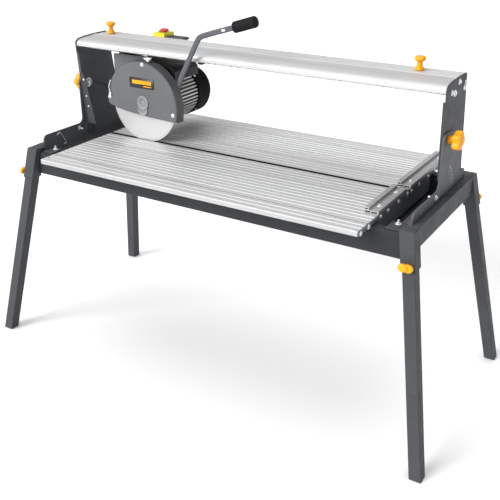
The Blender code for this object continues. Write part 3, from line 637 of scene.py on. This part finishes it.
def tilt_scales():
    """Degree marks and plain numbers on the outer face of each bracket."""
    _, y0, z0 = joint("bridge_tilt")["pos_m"]
    pivot, half, reach = Vector((y0, z0)), 0.0006, 0.0715
    marks = Build()
    for place, side in SIDES:
        face = bracket_face(place, side, 0.00015)
        for step in range(SCALE_MARKS):
            turn = math.radians(SCALE_FROM + SCALE_STEP * step)
            inner, outer = 0.084 if step % 3 else 0.079, 0.091
            ahead = Vector((math.sin(turn), math.cos(turn)))
            across = Vector((math.cos(turn), -math.sin(turn)))
            outline = [tuple(pivot + ahead * r + across * s * half) for r, s in
                       ((inner, -1), (outer, -1), (outer, 1), (inner, 1))]
            marks.slab(outline, 0, face - side * 0.0004, face)
    marks.done("tilt_scales", PALE, "frame")
    for place, side in SIDES:
        face = bracket_face(place, side, 0.00008)
        facing = Matrix.Rotation(side * math.pi / 2, 4, "Z") @ Matrix.Rotation(math.pi / 2, 4, "X")
        for step, words in SCALE_NUMBERS:
            turn = math.radians(SCALE_FROM + SCALE_STEP * step)
            font = bpy.data.curves.new(f"scale_{place}_{words}", "FONT")
            font.body, font.size, font.align_x, font.align_y = words, 0.0062, "CENTER", "CENTER"
            font.extrude = 0.0001
            font.materials.append(PALE)
            text = bpy.data.objects.new(f"scale_{place}_{words}", font)
            bpy.context.scene.collection.objects.link(text)
            at = (face, y0 + reach * math.sin(turn), z0 + reach * math.cos(turn))
            text.matrix_world = Matrix.Translation(at) @ facing
            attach(text, "frame")


def bracket_hook():
    """A bent wire hook on the inner face of the left bracket."""
    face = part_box("tilt_bracket_left")[1].x
    bends = ((-0.148, 0.669), (-0.136, 0.674), (-0.131, 0.672), (-0.109, 0.638), (-0.110, 0.633), (-0.120, 0.630))
    path = curve_through([Vector((face + 0.0010, y, z)) for y, z in bends], 5)
    wire = Build()
    wire.sweep(path, circle(0.0011, 8), (1, 0, 0))
    wire.done("bracket_hook", ZINC, "frame", "zinc_steel")


def knob_caps():
    """A push-in cap on every leg and tilt knob, and a zinc bolt head behind each tilt knob."""
    for name, node in NODES.items():
        if not name.startswith(("leg_knob", "tilt_knob")):
            continue
        turning = joint(f"{name}_turn")
        axis, at = Vector(turning["axis"]).normalized(), Vector(turning["pos_m"])
        reach = max((v.co - at).dot(axis) for v in node.data.vertices)
        back = min((v.co - at).dot(axis) for v in node.data.vertices)
        if abs(back) > abs(reach) and name.startswith("leg"):
            axis, reach = -axis, -back
        wide = 0.0062 if name.startswith("leg") else 0.0125
        cap = Build()
        cap.lathe([(wide, -0.0010), (wide, 0.0004), (wide * 0.86, 0.0012), (wide * 0.5, 0.0016), (0, 0.0017)],
                  at + axis * reach, axis)
        cap.done(f"{name}_cap", ORANGE, name, "orange_plastic")
        if name.startswith("tilt"):
            bolt = Build()
            hex_bolt(bolt, at + axis * (back + 0.0086), -axis, 0.0190, 0.0092)
            bolt.done(f"{name}_bolt", ZINC, name, "zinc_steel")


table_details()
fence_details()
frame_bolts()
tilt_scales()
knob_caps()
bracket_hook()


# Bridge -----------------------------------------------------------------------------------

def bridge_bolts():
    """Bolts that hold the beam and the guide rods to each upright."""
    bolts, nuts = Build(), Build()
    beam_low, beam_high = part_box("bridge_beam")
    for place, side in SIDES:
        low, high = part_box(f"upright_{place}")
        face = high.x if side > 0 else low.x
        for y, z in ((beam_low.y + 0.039, beam_high.z - 0.030), (beam_low.y + 0.093, beam_high.z - 0.012),
                     (beam_high.y - 0.012, beam_high.z - 0.026)):
            hex_bolt(bolts, (face, y, z), (side, 0, 0), 0.0095, 0.0046)
        for rod in ("front", "rear"):
            spot = middle(f"guide_rod_{rod}")
            hex_bolt(nuts, (face, spot.y, spot.z), (side, 0, 0), 0.011, 0.004)
    bolts.done("bridge_bolts", ZINC, "bridge", "zinc_steel")
    nuts.done("guide_rod_nuts", ZINC, "bridge", "zinc_steel")


def switch_details():
    """A low collar round each button, a parting line and screws on the switch's body."""
    low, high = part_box("switch_box")
    stop, start = middle("stop_button"), middle("start_button")
    collar = Build()
    for button, inner, outer in ((stop, 0.0088, 0.0112), (start, 0.0052, 0.0066)):
        section = [(inner, 0), (outer, 0), (outer, 0.0002), (outer - 0.0004, 0.0004), (inner, 0.0004)]
        collar.tube(section, (button.x, button.y, high.z + 0.0001))
    collar.done("switch_collars", YELLOW, "bridge", "yellow_plastic")
    line = Build()
    line.block((low.x - 0.0004, low.y - 0.0002, high.z - 0.0125),
               (high.x + 0.0003, high.y + 0.0004, high.z - 0.0115))
    line.done("switch_parting_line", BLACK, "bridge", "black_plastic")
    screws = Build()
    for x in (low.x + 0.006, high.x - 0.006):
        pan_screw(screws, (x, high.y, low.z + 0.008), (0, 1, 0), 0.0026)
    screws.done("switch_screws", ZINC, "bridge", "zinc_steel")


def upright_fold():
    """The tapering fold along the left upright's front edge, with three small screws."""
    low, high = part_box("upright_left")
    inner, outer = high.x, low.x + 0.0032

    def front(z):
        return -0.0033 - (z - 0.700) * 0.0754

    edge = ((outer, 0.676), (inner + 0.0340, 0.676), (inner + 0.0310, 0.700), (inner + 0.0160, 0.800),
            (inner + 0.0100, 0.840), (inner + 0.0020, 0.852), (outer, 0.852))
    fold = Build()
    fold.stack([[Vector((x, front(z) + y, z)) for x, z in edge] for y in (0.0024, 0.0)])
    fold.done("upright_fold_left", FRAME_PAINT, "bridge", "grey_paint", bevel=0.0006)
    screws = Build()
    for x, z in ((inner + 0.0060, 0.826), (inner + 0.0085, 0.770), (inner + 0.0105, 0.735)):
        pan_screw(screws, (x, front(z), z), (0, -1, 0), 0.0024)
    screws.done("upright_fold_screws", ZINC, "bridge", "zinc_steel")


bridge_bolts()
switch_details()
upright_fold()


# Saw head ---------------------------------------------------------------------------------

GUARD_EDGE = 0.0055


def guard_outline():
    """The guard's outline in x and z, from the front face of its CAD node, in order."""
    node = NODES["guard_cover"]
    low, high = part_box("guard_cover")
    front = [v.co for v in node.data.vertices if v.co.y < low.y + 1e-5]
    centre_x = (low.x + high.x) / 2
    centre_z = low.z + (high.z - low.z) * 0.45
    seen = {}
    for co in front:
        turn = math.atan2(co.z - centre_z, co.x - centre_x)
        seen[round(turn, 4)] = (co.x, co.z)
    return [seen[turn] for turn in sorted(seen)]


def inset_loop(points, distance):
    """Points moved inwards along the corner bisectors; the loop runs anticlockwise."""
    made, n = [], len(points)
    for i in range(n):
        a, b, c = (Vector(points[(i + k) % n]) for k in (-1, 0, 1))
        one, two = (b - a).normalized(), (c - b).normalized()
        inner = Vector((-one.y - two.y, one.x + two.x))
        scale = distance / max(0.35, inner.length / 2)
        made.append(tuple(b + inner.normalized() * scale))
    return made


def guard():
    """The pressed guard: rounded front edge, hollow and open below, with a rolled rim."""
    low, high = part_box("guard_cover")
    outline = guard_outline()
    build = Build()

    def ring(inset, y):
        return [(x, y, z) for x, z in inset_loop(outline, inset)]

    rings = [ring(0, high.y), ring(0, low.y + GUARD_EDGE)]
    for i in range(1, 6):
        turn = math.pi / 2 * i / 5
        rings.append(ring(GUARD_EDGE * (1 - math.cos(turn)), low.y + GUARD_EDGE * (1 - math.sin(turn))))
    build.stack(rings)
    shell = build.done("guard_shell", GUARD_PAINT, "saw_head", "guard_paint", smooth=30)
    bottom = low.z + 0.0225
    hollow = Build()
    inner = inset_loop(outline, 0.0028)
    for i, (x, z) in enumerate(inner):
        if z < bottom + 0.001 and z < low.z + 0.030:
            inner[i] = (x, z - 0.05)
    hollow.stack([[(x, y, z) for x, z in inner] for y in (low.y + 0.0028, high.y + 0.02)])
    tool = hollow.done("guard_hollow", GUARD_PAINT, "saw_head")
    step = shell.modifiers.new("hollow", "BOOLEAN")
    step.operation, step.solver, step.object = "DIFFERENCE", "EXACT", tool
    bpy.context.view_layer.update()
    made = bpy.data.meshes.new_from_object(shell.evaluated_get(bpy.context.evaluated_depsgraph_get()))
    shell.modifiers.clear()
    shell.data = made
    bpy.data.objects.remove(tool, do_unlink=True)
    flat = shell.modifiers.new("flats", "WEIGHTED_NORMAL")
    flat.keep_sharp = True
    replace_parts(shell, "guard_cover")


def guard_details():
    """Screws, a plain label plate with its border and two bars, and two dishes on the guard."""
    low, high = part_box("guard_cover")
    face = low.y
    screws = Build()
    for x, z in ((low.x + 0.151, high.z - 0.0075), (high.x - 0.0165, low.z + 0.0235),
                 (low.x + 0.0085, low.z + 0.052)):
        pan_screw(screws, (x, face, z), (0, -1, 0), 0.0048)
    screws.done("guard_screws", ZINC, "saw_head", "zinc_steel")

    plate_x, plate_z = low.x + 0.1465, low.z + 0.1125
    half_x, half_z = 0.0490, 0.0165
    corner, steps = 0.003, 4
    outline = []
    for k, (sx, sz) in enumerate(((1, 1), (-1, 1), (-1, -1), (1, -1))):
        for i in range(steps + 1):
            turn = math.pi / 2 * (k + i / steps)
            outline.append((plate_x + sx * (half_x - corner) + corner * math.cos(turn),
                            plate_z + sz * (half_z - corner) + corner * math.sin(turn)))
    plate = Build()
    plate.slab(outline, 1, face + 0.0002, face - 0.0009, 0.0004)
    plate.done("guard_plate", LABEL, "saw_head", "black_plastic")
    rim = [Vector((x, face - 0.0008, z)) for x, z in inset_loop(outline, 0.0022)]
    edge = Build()
    edge.sweep([*rim, rim[0], rim[1]], circle(0.00030, 6))
    edge.done("guard_plate_border", BLACK, "saw_head", "black_plastic")
    bars = Build()
    for x0, x1, z0, z1 in ((-0.038, 0.038, -0.0035, 0.0085), (0.006, 0.038, -0.0110, -0.0080)):
        bar = [(plate_x + x, plate_z + z) for x, z in ((x0, z0), (x1, z0), (x1, z1), (x0, z1))]
        bars.slab(bar, 1, face - 0.0008, face - 0.0012, 0.0002)
    bars.done("guard_plate_bars", ORANGE, "saw_head", "orange_plastic")

    dish = Build()
    for x, z, radius in ((BLADE.x + 0.0105, low.z + 0.0502, 0.0225),
                         (BLADE.x + 0.0092, low.z + 0.0260, 0.0190)):
        rim = [(radius, -0.0008), (radius, 0.0026), (radius - 0.0008, 0.0042), (radius - 0.0024, 0.0046)]
        bowl = [(radius - 0.0036, 0.0038), (radius * 0.42, -0.0002), (radius * 0.30, 0.0002), (0, 0.0004)]
        dish.lathe(rim + bowl, (x, face, z), (0, -1, 0), 48)
    # The dishes take the lighter copy of the guard grey: painted highlight.
    dish.done("guard_dishes", DISH_PAINT_HIGHLIT, "saw_head", "guard_paint", smooth=28)


def handle():
    """The cranked bar on a smooth path, a ribbed grip and a plain mark; they replace the CAD pieces."""
    points = [Vector(p) for p in (
        (-0.240, 0.022, 0.842), (-0.207, -0.0215, 0.8675), (-0.1862, -0.0371, 0.8927),
        (-0.150, -0.0412, 0.9540), (-0.1200, -0.0446, 1.0045), (-0.1085, -0.045, 1.0150),
        (-0.0930, -0.045, 1.0215), (-0.0500, -0.045, 1.0350), (0.0080, -0.045, 1.0525),
        (0.0700, -0.045, 1.0718))]
    arm = Build()
    arm.sweep(curve_through(points, 6), circle(0.0080, 24, 0.56, 0.62))
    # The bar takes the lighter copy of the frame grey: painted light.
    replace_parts(arm.done("handle_bar", FRAME_PAINT_LIT, "saw_head", "grey_paint"), "handle_arm")
    start, end = points[-2], points[-1]
    ahead = (end - start).normalized()
    length = (end - start).length + 0.009
    profile = [(0.0100, 0.0), (0.0150, 0.0), (0.0163, 0.0012), (0.0163, 0.0050)]
    ribs = 9
    pitch = (length - 0.014) / ribs
    for i in range(ribs):
        z = 0.0050 + i * pitch
        profile += [(0.0153, z + pitch * 0.12), (0.0153, z + pitch * 0.36), (0.0163, z + pitch * 0.50),
                    (0.0163, z + pitch * 0.98)]
    profile += [(0.0160, length - 0.004), (0.0145, length - 0.0012), (0.0100, length), (0, length + 0.0002)]
    grip = Build()
    grip.lathe(profile, start, ahead, 40)
    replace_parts(grip.done("handle_grip_ribbed", RUBBER, "saw_head", "black_rubber", smooth=50), "handle_grip")
    mark = Build()
    at = points[-2].lerp(points[-3], 0.62)
    side = (points[-2] - points[-3]).normalized()
    up = Vector((0, 1, 0)).cross(side)
    corners = [at + side * a * 0.006 + up * b * 0.0035 for a, b in ((-1, -1), (1, -1), (1, 1), (-1, 1))]
    mark.stack([[p + Vector((0, y, 0)) for p in corners] for y in (-0.0040, -0.0047)])
    mark.done("handle_mark", PALE, "saw_head")


def fan_grille():
    """Radial bars, a rim and a hub on the rear of the fan cover, and four screws round its skirt."""
    low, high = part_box("fan_cover")
    centre = middle("fan_cover")
    back = high.y
    bars = Build()
    spokes, here = 20, Vector((centre.x, centre.z))
    for i in range(spokes):
        turn = math.tau * i / spokes
        ahead = Vector((math.cos(turn), math.sin(turn)))
        across = Vector((-math.sin(turn), math.cos(turn)))
        outline = [tuple(here + ahead * r + across * s) for r, s in
                   ((0.017, -0.0012), (0.060, -0.0019), (0.060, 0.0019), (0.017, 0.0012))]
        bars.slab(outline, 1, back - 0.002, back + 0.0012, 0.0003)
    hub = (centre.x, back, centre.z)
    bars.tube([(0.058, -0.003), (0.063, -0.0042), (0.063, 0.0006), (0.061, 0.0014), (0.058, 0.0014)],
              hub, (0, 1, 0), 48)
    bars.lathe([(0.017, -0.002), (0.017, 0.0012), (0.015, 0.0020), (0, 0.0022)], hub, (0, 1, 0), 32)
    bars.done("fan_grille", BLACK, "saw_head", "black_plastic")
    screws = Build()
    radius = (high.x - low.x) / 2
    for degrees in (45, 135, 225, 315):
        turn = math.radians(degrees)
        out = Vector((math.cos(turn), 0, math.sin(turn)))
        pan_screw(screws, Vector((centre.x, low.y + 0.010, centre.z)) + out * radius, out, 0.003)
    screws.done("fan_screws", ZINC, "saw_head", "zinc_steel")


guard()
guard_details()
handle()
fan_grille()


# Stage ------------------------------------------------------------------------------------

FLOOR_REACH, FLOOR_Z = 60, -0.0005
WALL_RADIUS, WALL_HEIGHT, WALL_SIDES = 45.0, 7.0, 64
SKY_LIGHT = 0.52
SUNS = (("key", (-2.0, -4.2, 2.3), 35, 3.4), ("top", (-0.6, 0.6, 4.2), 60, 1.2))
CAMERA_AT, CAMERA_TURN = (1.2199, -1.9469, 1.4292), (64.7, 0.1, 31.4)
SENSOR, LENS = 36, 56.592


def staging(name, points, faces, mat):
    """A piece of the set, which isn't part of the saw."""
    mesh = bpy.data.meshes.new(name)
    mesh.from_pydata(points, [], faces)
    mesh.materials.append(mat)
    made = bpy.data.objects.new(name, mesh)
    bpy.context.scene.collection.objects.link(made)


def stage():
    """A pale floor, a pale ring far round it, soft light and the camera."""
    shade = Shade("floor_pale")
    colour = shade.mix(shade.span(shade.noise(0.6, detail=3), 0.3, 0.7), grey(0.93), grey(0.95))
    mat = shade.done(colour, shade.span(shade.noise(3.0), 0.3, 0.7, 0.75, 0.85))
    corners = ((-1, -1), (1, -1), (1, 1), (-1, 1))
    staging("floor", [(x * FLOOR_REACH, y * FLOOR_REACH, FLOOR_Z) for x, y in corners], [(0, 1, 2, 3)], mat)

    n, ring = WALL_SIDES, []
    for i in range(n):
        turn = math.tau * i / n
        ring.append((WALL_RADIUS * math.cos(turn), WALL_RADIUS * math.sin(turn)))
    pale = Shade("backdrop_pale", Emission_Color=(1, 1, 1, 1), Emission_Strength=1.0,
                 Base_Color=(0, 0, 0, 1), Roughness=1.0).mat
    staging("backdrop", [(x, y, z) for z in (FLOOR_Z, WALL_HEIGHT) for x, y in ring],
            [(i, (i + 1) % n, n + (i + 1) % n, n + i) for i in range(n)], pale)

    world = bpy.data.worlds.new("studio")
    world.use_nodes = True
    back = world.node_tree.nodes["Background"]
    back.inputs["Color"].default_value = (1.0, 1.0, 1.0, 1)
    back.inputs["Strength"].default_value = SKY_LIGHT
    bpy.context.scene.world = world

    for name, at, spread, power in SUNS:
        light = bpy.data.lights.new(name, "SUN")
        light.angle, light.energy = math.radians(spread), power
        lamp = bpy.data.objects.new(name, light)
        lamp.rotation_euler = (-Vector(at)).to_track_quat("-Z", "Y").to_euler()
        bpy.context.scene.collection.objects.link(lamp)

    data = bpy.data.cameras.new("camera")
    data.sensor_width, data.lens = SENSOR, LENS
    data.clip_end = 200
    camera = bpy.data.objects.new("camera", data)
    camera.location = CAMERA_AT
    camera.rotation_euler = [math.radians(turn) for turn in CAMERA_TURN]
    bpy.context.scene.collection.objects.link(camera)
    bpy.context.scene.camera = camera
    bpy.context.scene.view_settings.view_transform = "Standard"


stage()
